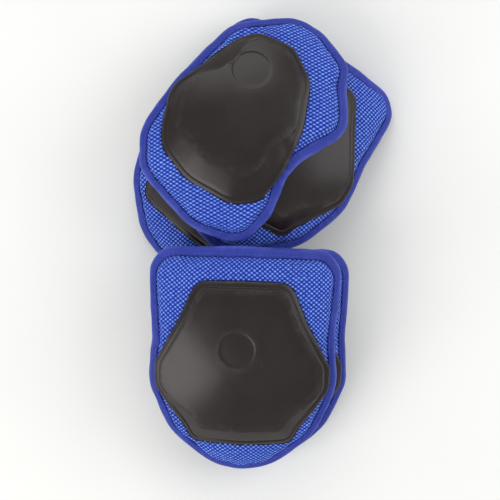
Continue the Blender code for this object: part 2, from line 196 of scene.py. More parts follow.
class Pad:
    def __init__(self, name, kind, centre, layer, tilt, twist, straps, weave):
        self.name, self.kind, self.straps = name, kind, straps
        self.centre = np.array(centre)
        self.radius = INNER_RADIUS + PITCH * layer
        self.layer = layer
        sx, sy = math.sin(math.radians(tilt[0])), math.sin(math.radians(tilt[1]))
        n = np.array([sx, sy, math.sqrt(1 - sx * sx - sy * sy)])
        ex = np.array([1.0, 0, 0]) - n * n[0]
        ex /= np.linalg.norm(ex)
        ey = np.cross(n, ex)
        turn = math.radians(twist)
        self.normal = n
        self.u = ex * math.cos(turn) + ey * math.sin(turn)
        self.v = np.cross(n, self.u)
        self.raw_edge = rounded(mirrored(KNEE_HALF) if kind == "knee" else ELBOW_OUTLINE)
        raw_cap = rounded(mirrored(KNEE_CAP_HALF) if kind == "knee" else ELBOW_CAP)
        edge, length = even(self.raw_edge, 1200)
        self.edge = around(edge, 4.0 * 1200 / length)
        cap, length = even(raw_cap, 1200)
        self.cap_edge = around(cap, 2.0 * 1200 / length)
        self.dish = (-3.0, 9.0, 12.5) if kind == "knee" else (19.0, 30.0, 14.0)
        self.weave = weave
        self.seed = 11 + 17 * sum(map(ord, name)) % 1000
    
    def at(self, x, y, h):
        x, y, h = np.broadcast_arrays(np.asarray(x, float), np.asarray(y, float), np.asarray(h, float))
        length = np.hypot(x, y)
        angle = length / self.radius
        s = np.where(length > 1e-9, np.sin(angle) / np.maximum(length, 1e-9), 1 / self.radius)
        d = (
            self.normal * np.cos(angle)[..., None]
            + self.u * (x * s)[..., None]
            + self.v * (y * s)[..., None]
        )
        return self.centre + d * (self.radius + h)[..., None]


# --- meshes ---------------------------------------------------------------------
def finished(name, points, faces, uv=None, attributes=None, smooth_angle=None):
    """A mesh object out of points in mm and lists of quads and triangles, facing outwards."""
    points = np.asarray(points, float)
    quads = [np.asarray(f) for f in faces if np.asarray(f).shape[1] == 4]
    tris = [np.asarray(f) for f in faces if np.asarray(f).shape[1] == 3]
    quads = np.concatenate(quads) if quads else np.zeros((0, 4), int)
    tris = np.concatenate(tris) if tris else np.zeros((0, 3), int)
    every = np.concatenate([quads[:, [0, 1, 2]], quads[:, [0, 2, 3]], tris])
    a, b, c = (points[every[:, i]] - points.mean(0) for i in range(3))
    if np.einsum("ij,ij->", a, np.cross(b, c)) < 0:
        quads, tris = quads[:, ::-1], tris[:, ::-1]
    mesh = bpy.data.meshes.new(name)
    mesh.vertices.add(len(points))
    mesh.vertices.foreach_set("co", (points * MM).astype(np.float32).ravel())
    loops = np.concatenate([quads.ravel(), tris.ravel()]).astype(np.int32)
    mesh.loops.add(len(loops))
    mesh.loops.foreach_set("vertex_index", loops)
    starts = np.concatenate([np.arange(len(quads)) * 4, len(quads) * 4 + np.arange(len(tris)) * 3])
    mesh.polygons.add(len(quads) + len(tris))
    mesh.polygons.foreach_set("loop_start", starts.astype(np.int32))
    mesh.update(calc_edges=True)
    mesh.polygons.foreach_set("use_smooth", [True] * len(mesh.polygons))
    if uv is not None:
        layer = mesh.uv_layers.new(name="pattern")
        layer.data.foreach_set("uv", np.asarray(uv, np.float32)[loops].ravel())
    for key, values in (attributes or {}).items():
        made = mesh.attributes.new(key, "FLOAT", "POINT")
        made.data.foreach_set("value", np.asarray(values, np.float32).ravel())
    mesh.validate()
    if smooth_angle:
        mesh.set_sharp_from_angle(angle=math.radians(smooth_angle))
    obj = bpy.data.objects.new(name, mesh)
    bpy.context.scene.collection.objects.link(obj)
    return obj


def strips(rows, count, closed=True, start=0, loop=False):
    """Quads between rows of count points each."""
    k = np.arange(count if closed else count - 1)
    n = (k + 1) % count
    faces = []
    pairs = [(r, r + 1) for r in range(rows - 1)] + ([(rows - 1, 0)] if loop else [])
    for r, s in pairs:
        a, b = start + r * count, start + s * count
        faces.append(np.stack([a + k, b + k, b + n, a + n], axis=1))
    return np.concatenate(faces)


def fan(hub, first, count, flip=False):
    k = np.arange(count)
    n = (k + 1) % count
    f = np.stack([np.full(count, hub), first + k, first + n], axis=1)
    return f[:, ::-1] if flip else f


def lens(name, pad, top, bottom, top_hub, bottom_hub, uv=None, attributes=None, smooth_angle=None):
    """A closed sheet. top and bottom are lists of (xy, h, ...) rings from the middle outwards."""
    xy = np.concatenate([r[0] for r in top] + [r[0] for r in bottom[::-1]] + [[top_hub[:2]], [bottom_hub[:2]]])
    count = len(top[0][0])
    heights = np.concatenate(
        [np.broadcast_to(r[1], (count,)) for r in top]
        + [np.broadcast_to(r[1], (count,)) for r in bottom[::-1]]
        + [[top_hub[2]], [bottom_hub[2]]]
    )
    rows = len(top) + len(bottom)
    faces = [strips(rows, count)]
    faces.append(fan(rows * count, 0, count))
    faces.append(fan(rows * count + 1, (rows - 1) * count, count, True))
    flat = xy
    points = pad.at(xy[:, 0], xy[:, 1], heights)
    if uv is not None:
        uv = uv(flat[:, 0], flat[:, 1])
    if attributes:
        attributes = {k: v(flat[:, 0], flat[:, 1], heights) for k, v in attributes.items()}
    return finished(name, points, faces, uv, attributes, smooth_angle)


# --- materials --------------------------------------------------------------------
class Nodes:
    """Short names for building one material."""

    def __init__(self, name, colour, roughness, sheen=0.0, sheen_roughness=0.5, specular=0.5, coat=0.0):
        self.material = bpy.data.materials.new(name)
        self.material.use_nodes = True
        self.tree = self.material.node_tree
        self.shader = self.tree.nodes["Principled BSDF"]
        self.set(self.shader, "Base Color", (*colour, 1.0))
        self.set(self.shader, "Roughness", roughness)
        self.set(self.shader, "Sheen Weight", sheen)
        self.set(self.shader, "Sheen Roughness", sheen_roughness)
        self.set(self.shader, "Specular IOR Level", specular)
        self.set(self.shader, "Coat Weight", coat)

    def set(self, node, socket, value):
        node.inputs[socket].default_value = value

    def link(self, a, b):
        self.tree.links.new(a, b)

    def feed(self, node, socket, value):
        if isinstance(value, bpy.types.NodeSocket):
            self.link(value, node.inputs[socket])
        else:
            node.inputs[socket].default_value = value

    def maths(self, operation, a, b=0.0, c=0.0, clamp=False):
        node = self.tree.nodes.new("ShaderNodeMath")
        node.operation = operation
        node.use_clamp = clamp
        for i, v in enumerate((a, b, c)):
            self.feed(node, i, v)
        return node.outputs[0]

    def noise(self, vector, scale, detail=3.0, roughness=0.55, distortion=0.0):
        node = self.tree.nodes.new("ShaderNodeTexNoise")
        self.feed(node, "Vector", vector)
        node.inputs["Scale"].default_value = scale
        node.inputs["Detail"].default_value = detail
        node.inputs["Roughness"].default_value = roughness
        node.inputs["Distortion"].default_value = distortion
        return node.outputs["Fac"]

    def object(self, scale=(1.0, 1.0, 1.0)):
        node = self.tree.nodes.new("ShaderNodeTexCoord")
        mapping = self.tree.nodes.new("ShaderNodeMapping")
        mapping.inputs["Scale"].default_value = scale
        self.link(node.outputs["Object"], mapping.inputs["Vector"])
        return mapping.outputs[0]

    def pattern(self):
        node = self.tree.nodes.new("ShaderNodeUVMap")
        node.uv_map = "pattern"
        split = self.tree.nodes.new("ShaderNodeSeparateXYZ")
        self.link(node.outputs[0], split.inputs[0])
        return node.outputs[0], split.outputs[0], split.outputs[1]

    def attribute(self, name):
        node = self.tree.nodes.new("ShaderNodeAttribute")
        node.attribute_name = name
        return node.outputs["Fac"]

    def ramp(self, value, low, high, out_low=0.0, out_high=1.0, smooth_=True):
        node = self.tree.nodes.new("ShaderNodeMapRange")
        node.interpolation_type = "SMOOTHSTEP" if smooth_ else "LINEAR"
        self.feed(node, "Value", value)
        for i, v in ((1, low), (2, high), (3, out_low), (4, out_high)):
            node.inputs[i].default_value = v
        return node.outputs[0]

    def mix(self, factor, a, b):
        node = self.tree.nodes.new("ShaderNodeMix")
        node.data_type = "RGBA"
        self.feed(node, 0, factor)
        for i, v in ((6, a), (7, b)):
            self.feed(node, i, v if isinstance(v, bpy.types.NodeSocket) else (*v, 1.0))
        return node.outputs[2]

    def bump(self, height, strength, distance, before=None):
        node = self.tree.nodes.new("ShaderNodeBump")
        node.inputs["Strength"].default_value = strength
        node.inputs["Distance"].default_value = distance
        self.link(height, node.inputs["Height"])
        if before is not None:
            self.link(before, node.inputs["Normal"])
        return node.outputs[0]

    def out(self, socket, value):
        self.feed(self.shader, socket, value)


def cover_material(name):
    """Coarse knitted mesh: pale threads in a net over a darker blue ground that shows in its holes, with a painted
    highlight on the raised thread crossings.
    """
    m = Nodes(name, (0.10, 0.20, 0.62), 0.62, sheen=0.18, sheen_roughness=0.4, specular=0.35)
    m.set(m.shader, "Sheen Tint", (0.45, 0.6, 1.0, 1.0))
    vector, u, v = m.pattern()
    f = m.maths("MULTIPLY", m.maths("COSINE", m.maths("MULTIPLY", u, TAU)), m.maths("COSINE", m.maths("MULTIPLY", v, TAU)))
    uneven = m.noise(vector, 1.25, 2.0)
    f = m.maths("ADD", f, m.maths("MULTIPLY", m.maths("SUBTRACT", uneven, 0.5), 1.25))
    hole = m.ramp(f, -0.38, 0.30)
    # Painted highlight: the crowns of the thread crossings are coloured paler, as if light were catching them.
    crown_highlight = m.ramp(f, -0.30, -0.95)
    fibre = m.noise(vector, 9.0, 3.0, 0.7)
    patch = m.noise(m.object(), 22.0, 2.0)
    thread = m.mix(crown_highlight, (0.052, 0.135, 0.58), (0.250, 0.45, 0.94))
    thread = m.mix(m.ramp(fibre, 0.35, 0.85, 0.0, 0.6), thread, (0.13, 0.27, 0.85))
    thread = m.mix(m.ramp(patch, 0.35, 0.7, 0.0, 0.35), thread, (0.040, 0.095, 0.55))
    ground = m.mix(m.ramp(fibre, 0.3, 0.7), (0.0045, 0.016, 0.30), (0.009, 0.030, 0.42))
    m.out("Base Color", m.mix(hole, thread, ground))
    m.out("Roughness", m.ramp(hole, 0, 1, 0.55, 0.85, False))
    height = m.maths("ADD", m.maths("MULTIPLY", hole, -1.0), m.maths("MULTIPLY", fibre, 0.25))
    m.out("Normal", m.bump(height, 0.7, 0.0004))
    return m.material


def binding_material(name):
    """Woven tape: a fine twill and paler wear along the fold."""
    m = Nodes(name, (0.035, 0.05, 0.45), 0.55, sheen=0.28, sheen_roughness=0.35, specular=0.3)
    m.set(m.shader, "Sheen Tint", (0.4, 0.5, 1.0, 1.0))
    vector, u, v = m.pattern()
    ribs = m.maths("SINE", m.maths("MULTIPLY", m.maths("ADD", u, m.maths("MULTIPLY", v, 0.8)), TAU * 10 / 0.9))
    cross = m.maths("SINE", m.maths("MULTIPLY", m.maths("SUBTRACT", u, m.maths("MULTIPLY", v, 1.6)), TAU * 10 / 1.3))
    cloud = m.noise(m.object(), 60.0, 3.0)
    wide = m.noise(m.object(), 14.0, 2.0)
    base = m.mix(m.ramp(ribs, -0.6, 0.9), (0.014, 0.029, 0.27), (0.027, 0.051, 0.37))
    base = m.mix(m.ramp(cloud, 0.45, 0.75, 0.0, 0.35), base, (0.070, 0.095, 0.50))
    base = m.mix(m.ramp(wide, 0.4, 0.65, 0.0, 0.35), base, (0.016, 0.028, 0.27))
    base = m.mix(m.maths("MULTIPLY", m.attribute("fold"), m.ramp(cloud, 0.4, 0.62, 0.15, 0.6)), base, (0.105, 0.140, 0.56))
    m.out("Base Color", base)
    m.out("Roughness", m.ramp(cloud, 0.3, 0.7, 0.48, 0.66, False))
    height = m.maths("ADD", m.maths("MULTIPLY", ribs, 0.5), m.maths("MULTIPLY", cross, 0.3))
    m.out("Normal", m.bump(height, 0.35, 0.00012))
    return m.material


def thread_material(name, dark, light):
    m = Nodes(name, light, 0.5, sheen=0.2, specular=0.4)
    vector = m.object()
    twist = m.noise(vector, 900.0, 2.0)
    m.out("Base Color", m.mix(m.ramp(twist, 0.35, 0.65), dark, light))
    m.out("Normal", m.bump(twist, 0.5, 0.0001))
    return m.material


def cap_material(name):
    """Moulded plastic: near-black with a warm cast, a fine grain, paler rubbed edges and a few light scuffs."""
    m = Nodes(name, (0.020, 0.016, 0.016), 0.34, specular=0.40)
    vector = m.object()
    cloud = m.noise(vector, 18.0, 4.0, 0.6)
    grain = m.noise(vector, 1400.0, 2.0, 0.5)
    scratch = m.noise(m.object((1.0, 0.10, 1.0)), 420.0, 3.0, 0.7, 0.6)
    rub = m.noise(vector, 130.0, 4.0, 0.65)
    base = m.mix(m.ramp(cloud, 0.35, 0.65), (0.0102, 0.0052, 0.0055), (0.0160, 0.0094, 0.0095))
    wear = m.maths("MULTIPLY", m.attribute("wear"), m.ramp(rub, 0.42, 0.66, 0.25, 1.0))
    base = m.mix(m.maths("MULTIPLY", wear, 0.55), base, (0.075, 0.068, 0.066))
    marks = m.ramp(scratch, 0.66, 0.74)
    base = m.mix(m.maths("MULTIPLY", marks, 0.30), base, (0.060, 0.055, 0.054))
    m.out("Base Color", base)
    rough = m.maths("ADD", m.ramp(cloud, 0.3, 0.7, 0.24, 0.34, False), m.maths("MULTIPLY", wear, 0.16))
    rough = m.maths("ADD", rough, m.maths("MULTIPLY", marks, 0.15))
    m.out("Roughness", rough)
    soft = m.noise(vector, 55.0, 2.0)
    n = m.bump(soft, 0.10, 0.0012)
    n = m.bump(grain, 0.12, 0.00006, n)
    m.out("Normal", n)
    return m.material


def lining_material(name):
    """Brushed knit: fine wales with a soft nap."""
    m = Nodes(name, (0.018, 0.02, 0.028), 0.9, sheen=0.6, sheen_roughness=0.6, specular=0.2)
    vector, u, v = m.pattern()
    wale = m.maths("SINE", m.maths("MULTIPLY", u, TAU * 10 / 1.1))
    course = m.maths("ABSOLUTE", m.maths("SINE", m.maths("MULTIPLY", v, math.pi * 10 / 0.9)))
    nap = m.noise(m.object(), 420.0, 4.0, 0.7)
    wide = m.noise(m.object(), 25.0, 3.0)
    base = m.mix(m.ramp(nap, 0.3, 0.7), (0.012, 0.013, 0.019), (0.030, 0.033, 0.046))
    base = m.mix(m.ramp(wide, 0.4, 0.7, 0.0, 0.4), base, (0.040, 0.043, 0.056))
    m.out("Base Color", base)
    height = m.maths("ADD", m.maths("MULTIPLY", m.maths("MULTIPLY", wale, course), 0.5), nap)
    m.out("Normal", m.bump(height, 0.6, 0.00025))
    return m.material


def foam_material(name):
    """Closed-cell foam with small cut cells."""
    m = Nodes(name, (0.09, 0.09, 0.095), 0.95, specular=0.25)
    cells = m.tree.nodes.new("ShaderNodeTexVoronoi")
    cells.inputs["Scale"].default_value = 900.0
    m.link(m.object(), cells.inputs["Vector"])
    m.out("Base Color", m.mix(m.ramp(cells.outputs["Distance"], 0.1, 0.6), (0.055, 0.055, 0.06), (0.11, 0.11, 0.115)))
    m.out("Normal", m.bump(cells.outputs["Distance"], 0.4, 0.0002))
    return m.material


def elastic_material(name):
    """Ribbed elastic: cords along the strap and weft across it."""
    m = Nodes(name, (0.012, 0.012, 0.014), 0.7, sheen=0.35, specular=0.35)
    vector, u, v = m.pattern()
    rib = m.maths("ABSOLUTE", m.maths("SINE", m.maths("MULTIPLY", v, math.pi * 10 / 1.5)))
    weft = m.maths("SINE", m.maths("MULTIPLY", u, TAU * 10 / 0.7))
    fluff = m.noise(m.object(), 700.0, 3.0)
    base = m.mix(m.ramp(rib, 0.05, 0.8), (0.006, 0.006, 0.007), (0.022, 0.022, 0.025))
    base = m.mix(m.ramp(fluff, 0.55, 0.8, 0.0, 0.5), base, (0.055, 0.055, 0.06))
    m.out("Base Color", base)
    height = m.maths("ADD", rib, m.maths("MULTIPLY", weft, 0.2))
    m.out("Normal", m.bump(height, 0.8, 0.0003))
    return m.material


def hook_material(name):
    """Hook tape: rows of small stiff hooks on a woven back."""
    m = Nodes(name, (0.010, 0.010, 0.011), 0.45, sheen=0.1, specular=0.5)
    vector, u, v = m.pattern()
    a = m.maths("SINE", m.maths("MULTIPLY", u, TAU * 10 / 1.3))
    b = m.maths("SINE", m.maths("MULTIPLY", v, TAU * 10 / 1.3))
    pin = m.ramp(m.maths("MULTIPLY", a, b), 0.25, 0.8)
    m.out("Base Color", m.mix(pin, (0.008, 0.008, 0.009), (0.040, 0.040, 0.044)))
    m.out("Normal", m.bump(pin, 0.9, 0.0004))
    return m.material


def loop_material(name):
    """Loop tape: a soft, directionless pile."""
    m = Nodes(name, (0.014, 0.014, 0.016), 0.95, sheen=0.8, sheen_roughness=0.7, specular=0.15)
    pile = m.noise(m.object(), 1100.0, 4.0, 0.8)
    tuft = m.noise(m.object(), 220.0, 3.0)
    base = m.mix(m.ramp(pile, 0.35, 0.7), (0.009, 0.009, 0.011), (0.034, 0.034, 0.038))
    base = m.mix(m.ramp(tuft, 0.5, 0.75, 0.0, 0.4), base, (0.05, 0.05, 0.055))
    m.out("Base Color", base)
    m.out("Normal", m.bump(m.maths("ADD", pile, tuft), 0.9, 0.0004))
    return m.material


COVER = cover_material("mesh_knit_blue")
TAPE = binding_material("binding_tape_blue")
THREAD = thread_material("sewing_thread_blue", (0.03, 0.045, 0.40), (0.09, 0.12, 0.62))
DARK_THREAD = thread_material("sewing_thread_dark", (0.010, 0.010, 0.012), (0.045, 0.045, 0.05))
CAP = cap_material("moulded_plastic_near_black")
LINING = lining_material("brushed_knit_dark")
FOAM = foam_material("closed_cell_foam")
ELASTIC = elastic_material("ribbed_elastic")
HOOK = hook_material("hook_tape")
LOOP = loop_material("loop_pile")


def placed(obj, material, body, slot, *nodes):
    obj.data.materials.append(material)
    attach(obj, body)
    if nodes:
        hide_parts(*nodes)
    return obj


# --- the pieces of one pad ----------------------------------------------------------
def knit_phase(pad, x, y):
    """Where a point lies in the knit's repeat: whole numbers are the middles of holes."""
    width, height, turn = pad.weave
    c, s = math.cos(math.radians(turn)), math.sin(math.radians(turn))
    x = x + 0.35 * noise(x, y, 26.0, pad.seed + 1)
    y = y + 0.35 * noise(x, y, 22.0, pad.seed + 2)
    return (x * c + y * s) / width, (-x * s + y * c) / height


def cap_distance(pad, rays, xy):
    """How far points lie outside the cap's edge, about."""
    d = xy - 0.0
    angle = np.arctan2(d[..., 1], d[..., 0])
    r = np.hypot(d[..., 0], d[..., 1])
    return (r - rays.at_angle(angle, rays.radius)) * rays.at_angle(angle, rays.lean)


def cover_height(pad, rays, cap_rays, xy, radius, seam):
    """Height of the padded cover's outer face over flat points, without its knit."""
    edge = (np.broadcast_to(rays.radius, radius.shape) - radius) * rays.lean
    out = cap_distance(pad, cap_rays, xy)
    x, y = xy[..., 0], xy[..., 1]
    rise = smooth((edge - seam) / 6.4)
    h = COVER_THIN + (COVER_TOP - COVER_THIN) * rise
    room = np.maximum(out + edge - seam, 1e-3)
    share = np.clip(out / room, 0, 1)
    loft = 0.45 if pad.name in PUFF else 1.25
    h += loft * np.sin(np.pi * share) * np.clip(room / 20.0, 0, 1) * np.where(out > 0, 1.0, 0.0)
    # The tape's seam gathers the fabric into small puckers.
    along = rays.along
    pucker = np.sin(TAU * along / 8.5 + 1.8 * noise(x, y, 35.0, pad.seed + 3)) * np.clip(noise(x, y, 30.0, pad.seed + 4) + 0.6, 0, 1)
    h += 0.34 * pucker * np.exp(-np.clip(edge - seam - 2.0, 0, 99) / 4.5) * smooth((edge - seam) / 2.5)
    h += 0.28 * noise(x, y, 24.0, pad.seed + 5) * smooth(out / 6.0) * rise
    return np.where(out < 0, np.minimum(h, COVER_TOP - 0.1), h)


def simulate(pads):
    """Inflates each cover's open border as cloth, held at its seam and under the cap's edge, and keeps how far it rose."""
    sectors, rows = 150, 13
    made = []
    for pad in pads:
        rays = Rays(pad.edge, (0.0, 0.0), sectors)
        cap_rays = Rays(pad.cap_edge, (0.0, 0.0), 720)
        seam = lip(pad, rays) - 0.4
        outer = rays.radius - seam / rays.lean
        inner = np.minimum(cap_rays.at_angle(rays.angle, cap_rays.radius) - 1.0, outer - 1.5)
        t = np.linspace(0, 1, rows)
        radius = inner[None, :] + (outer - inner)[None, :] * t[:, None]
        xy = rays.dir[None] * radius[..., None]
        edge = (rays.radius[None, :] - radius) * rays.lean
        h = COVER_THIN + (COVER_TOP - COVER_THIN) * smooth((edge - seam) / 6.4)
        points = pad.at(xy[..., 0], xy[..., 1], h).reshape(-1, 3)
        # Worked at ten times its size, where the cloth solver is at home.
        mesh = bpy.data.meshes.new("sheet")
        faces = strips(rows, sectors)
        mesh.from_pydata((points * MM * 10).tolist(), [], faces.tolist())
        mesh.update()
        a, b, c = (points[faces[0][i]] for i in range(3))
        if np.cross(b - a, c - a) @ (a - pad.centre) < 0:
            mesh.flip_normals()
        obj = bpy.data.objects.new("sheet_" + pad.name, mesh)
        bpy.context.scene.collection.objects.link(obj)
        group = obj.vertex_groups.new(name="pin")
        group.add(list(range(sectors)) + list(range((rows - 1) * sectors, rows * sectors)), 1.0, "REPLACE")
        cloth = obj.modifiers.new("cloth", "CLOTH")
        settings = cloth.settings
        settings.quality = 6
        settings.mass = 0.15
        settings.air_damping = 3.0
        settings.tension_stiffness = 14.0
        settings.compression_stiffness = 14.0
        settings.shear_stiffness = 6.0
        settings.bending_stiffness = 0.35
        settings.vertex_group_mass = "pin"
        settings.pin_stiffness = 1.0
        settings.use_pressure = True
        settings.uniform_pressure_force = 4.0
        settings.shrink_min = -0.035
        settings.effector_weights.gravity = 0.0
        cloth.collision_settings.use_collision = False
        cloth.point_cache.frame_start, cloth.point_cache.frame_end = 1, 24
        made.append((pad, obj, rays, h))
    scene = bpy.context.scene
    for number in range(1, 25):
        scene.frame_set(number)
    graph = bpy.context.evaluated_depsgraph_get()
    for pad, obj, rays, h in made:
        mesh = obj.evaluated_get(graph).to_mesh()
        moved = np.empty(len(mesh.vertices) * 3, np.float32)
        mesh.vertices.foreach_get("co", moved)
        moved = moved.reshape(rows, sectors, 3) / (MM * 10)
        rise = np.linalg.norm(moved - pad.centre, axis=2) - (pad.radius + h)
        PUFF[pad.name] = (rays.angle, 1.9 * np.tanh(rise / 1.9))
    for _, obj, _, _ in made:
        mesh = obj.data
        bpy.data.objects.remove(obj, do_unlink=True)
        bpy.data.meshes.remove(mesh)
    scene.frame_set(1)


def inflated(pad, rays, t):
    """The simulated rise at the rows t of every sector."""
    angle, rise = PUFF[pad.name]
    rows = len(rise)
    wide = []
    order = np.argsort(angle)
    a = angle[order]
    a = np.concatenate([a[-4:] - TAU, a, a[:4] + TAU])
    for row in rise:
        v = row[order]
        wide.append(np.interp(rays.angle, a, np.concatenate([v[-4:], v, v[:4]])))
    wide = around(np.array(wide).T, rays.count / 150 * 0.7).T
    # Cubic through the rows, so that the fold lines of the coarse sheet don't show.
    place = t * (rows - 1)
    i = np.clip(place.astype(int), 0, rows - 2)
    f = (place - i)[:, None]
    p0, p1, p2, p3 = (wide[np.clip(i + k, 0, rows - 1)] for k in (-1, 0, 1, 2))
    return 0.5 * (2 * p1 + (p2 - p0) * f + (2 * p0 - 5 * p1 + 4 * p2 - p3) * f**2 + (3 * p1 - p0 - 3 * p2 + p3) * f**3)


def lip(pad, rays):
    """How far the tape reaches in from the edge: less where it is pulled tight round the sides."""
    x, y = rays.points[:, 0], rays.points[:, 1]
    if pad.kind == "knee":
        w = 5.9 + 2.1 * smooth((y - 58.0) / 18.0) + 1.0 * smooth((-62.0 - y) / 25.0)
    else:
        w = 6.0 + 1.9 * smooth((x * 0.5 - y * 0.85 - 5.0) / 40.0) + 0.6 * smooth((y - 30.0) / 20.0)
    w = w + 0.35 * noise(x, y, 45.0, pad.seed + 30)
    return around(w, rays.count * 7.0 / rays.length)


def make_cover(pad):
    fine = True
    count = 960 if fine else 380
    rows = 72 if fine else 30
    rays = Rays(pad.edge, (0.0, 0.0), count)
    cap_rays = Rays(pad.cap_edge, (0.0, 0.0), 720)
    seam = lip(pad, rays) - 0.4
    outer = rays.radius - seam / rays.lean
    inner = np.minimum(cap_rays.at_angle(rays.angle, cap_rays.radius) - 3.5, outer - 1.5)
    t = np.linspace(0, 1, rows)
    radius = inner[None, :] + (outer - inner)[None, :] * t[:, None]
    xy = rays.dir[None] * radius[..., None]
    h = cover_height(pad, rays, cap_rays, xy, radius, seam)
    if pad.name in PUFF:
        h = h + inflated(pad, rays, t)
    u, v = knit_phase(pad, xy[..., 0], xy[..., 1])
    f = np.cos(TAU * u) * np.cos(TAU * v)
    hole = smooth((f + 0.15) / 0.65)
    h = h - 0.45 * hole + 0.14 * smooth((-f - 0.2) / 0.8)
    top = [(rays.dir * (inner * s)[:, None], COVER_TOP - 0.2) for s in (0.3, 0.65, 0.9)]
    top += [(xy[i], h[i]) for i in range(rows)]
    top += [(rays.ring(seam * s), COVER_THIN - 0.05) for s in (0.85, 0.5)] + [(rays.ring(2.0), COVER_THIN - 0.25)]
    bottom = [(rays.dir * (inner * s)[:, None], 6.5) for s in (0.35, 0.8)]
    bottom += [(rays.ring(15.2), 6.45), (rays.ring(9.8), 1.15), (rays.ring(1.8), 1.15)]
    return lens(
        pad.name + "_mesh_cover_knit", pad, top, bottom, (0.0, 0.0, COVER_TOP - 0.2), (0.0, 0.0, 6.5),
        uv=lambda x, y: np.stack(knit_phase(pad, x, y), axis=-1),
    )


def section_path(points, steps):
    """A smooth closed section through its points (Catmull-Rom)."""
    p = np.array(points, float)
    n = len(p)
    out = []
    for i in range(n):
        a, b, c, d = p[i - 1], p[i], p[(i + 1) % n], p[(i + 2) % n]
        for k in range(steps):
            t = k / steps
            out.append(0.5 * (2 * b + (c - a) * t + (2 * a - 5 * b + 4 * c - d) * t * t + (3 * b - a - 3 * c + d) * t**3))
    return np.array(out)


def make_binding(pad):
    count = 760
    rays = Rays(pad.edge, (0.0, 0.0), count)
    outer = [
        (8.0, 2.75), (7.75, 3.22), (7.0, 3.42), (6.2, 3.30), (5.2, 3.50), (3.4, 3.62), (1.8, 3.50), (0.6, 3.02),
        (-0.2, 2.15), (-0.5, 1.05), (-0.25, -0.10), (0.5, -0.95), (1.9, -1.36), (4.0, -1.45), (5.4, -1.38),
        (6.2, -1.25), (7.0, -1.36), (7.75, -1.18), (8.0, -0.75),
    ]
    back = [(7.2, -0.42), (3.4, -0.38), (1.5, 0.0), (1.15, 1.05), (1.5, 2.15), (3.4, 2.62), (7.2, 2.66)]
    path = section_path(outer + back, 2)
    rows = len(path)
    outside = np.zeros(rows)
    outside[: 2 * len(outer) - 1] = 1.0
    inset = np.broadcast_to(path[:, 0][:, None], (rows, count)).copy()
    h = np.broadcast_to(path[:, 1][:, None], (rows, count)).copy()
    along = rays.along[None, :]
    ex, ey = rays.points[:, 0][None], rays.points[:, 1][None]
    tight = (lip(pad, rays)[None, :] - 2.0) / 6.0
    flat_inset = inset.copy()
    inset = np.where(inset > 2.0, 2.0 + (inset - 2.0) * tight, inset)
    # Puckers from the stitching, and a slightly uneven fold.
    wave = np.sin(TAU * along / 7.3 + 2.2 * noise(ex, ey, 40.0, pad.seed + 6))
    gather = np.clip(noise(ex, ey, 28.0, pad.seed + 7) + 0.75, 0, 1.4)
    near = np.exp(-((flat_inset - 5.0) / 2.6) ** 2) * outside[:, None]
    side = np.where(h > 1.0, 1.0, -1.0)
    room = np.where(side > 0, 0.20, 0.10)
    h += side * room * wave * gather * near
    inset += outside[:, None] * (0.30 * noise(ex, ey, 18.0, pad.seed + 8) * np.exp(-((flat_inset + 1.0) / 3.0) ** 2))
    inset += outside[:, None] * 0.30 * noise(ex, ey, 15.0, pad.seed + 9) * np.exp(-((flat_inset - 8.0) / 1.2) ** 2)
    r = rays.radius[None] - inset / rays.lean[None]
    xy = rays.dir[None] * r[..., None]
    points = pad.at(xy[..., 0], xy[..., 1], h).reshape(-1, 3)
    step = np.linalg.norm(np.diff(np.vstack([path, path[:1]]), axis=0), axis=1)
    across = np.concatenate([[0], np.cumsum(step)[:-1]])
    uv = np.stack([np.broadcast_to(along, h.shape) / 10, np.broadcast_to(across[:, None], h.shape) / 10], axis=-1)
    fold = np.exp(-((flat_inset - 0.2) / 1.6) ** 2) * outside[:, None]
    return finished(
        pad.name + "_edge_binding_tape", points, [strips(rows, count, loop=True)], uv.reshape(-1, 2), {"fold": fold}
    )


def capsule_run(pad, xy, h, direction, length, radius):
    """Stitches: one small bulged bar for each row of xy, laid along direction."""
    n = len(xy)
    side = np.stack([-direction[:, 1], direction[:, 0]], axis=1)
    stations = [(-0.5, 0.15, -0.7), (-0.38, 0.85, -0.1), (0.0, 1.0, 0.25), (0.38, 0.85, -0.1), (0.5, 0.15, -0.7)]
    ring_ = 6
    points, faces = [], []
    for along, size, lift in stations:
        for k in range(ring_):
            a = TAU * k / ring_
            p = xy + direction * (along * length) + side * (radius * size * math.cos(a))
            z = h + radius * (lift + size * math.sin(a))
            points.append(pad.at(p[:, 0], p[:, 1], z))
    points = np.stack(points, axis=1)  # n, stations*ring, 3
    base = (np.arange(n) * points.shape[1])[:, None]
    k = np.arange(ring_)
    nxt = (k + 1) % ring_
    for s in range(len(stations) - 1):
        quad = np.stack([s * ring_ + k, (s + 1) * ring_ + k, (s + 1) * ring_ + nxt, s * ring_ + nxt], axis=1)
        faces.append((base[:, :, None] + quad[None]).reshape(-1, 4))
    last = (len(stations) - 1) * ring_
    caps = []
    for i in range(1, ring_ - 1):
        caps.append((0, i, i + 1))
        caps.append((last, last + i + 1, last + i))
    faces.append((base[:, :, None] + np.array(caps)[None]).reshape(-1, 3))
    return points.reshape(-1, 3), faces


def make_stitches(pad):
    rays = Rays(pad.edge, (0.0, 0.0), 1600)
    pitch = 3.1
    number = int(rays.length / pitch)
    where = (np.arange(number) * 1600 / number).astype(int)
    line = rays.ring(2.0 + 4.15 * (lip(pad, rays) - 2.0) / 6.0)
    tangent = np.roll(line, -3, axis=0) - np.roll(line, 3, axis=0)
    tangent /= np.linalg.norm(tangent, axis=1)[:, None]
    one, faces = capsule_run(pad, line[where], np.full(number, 3.48), tangent[where], 2.3, 0.24)
    two, more = capsule_run(pad, line[where], np.full(number, -1.42), tangent[where], 2.3, 0.20)
    return finished(
        pad.name + "_binding_stitching", np.concatenate([one, two]), faces + [f + len(one) for f in more]
    )


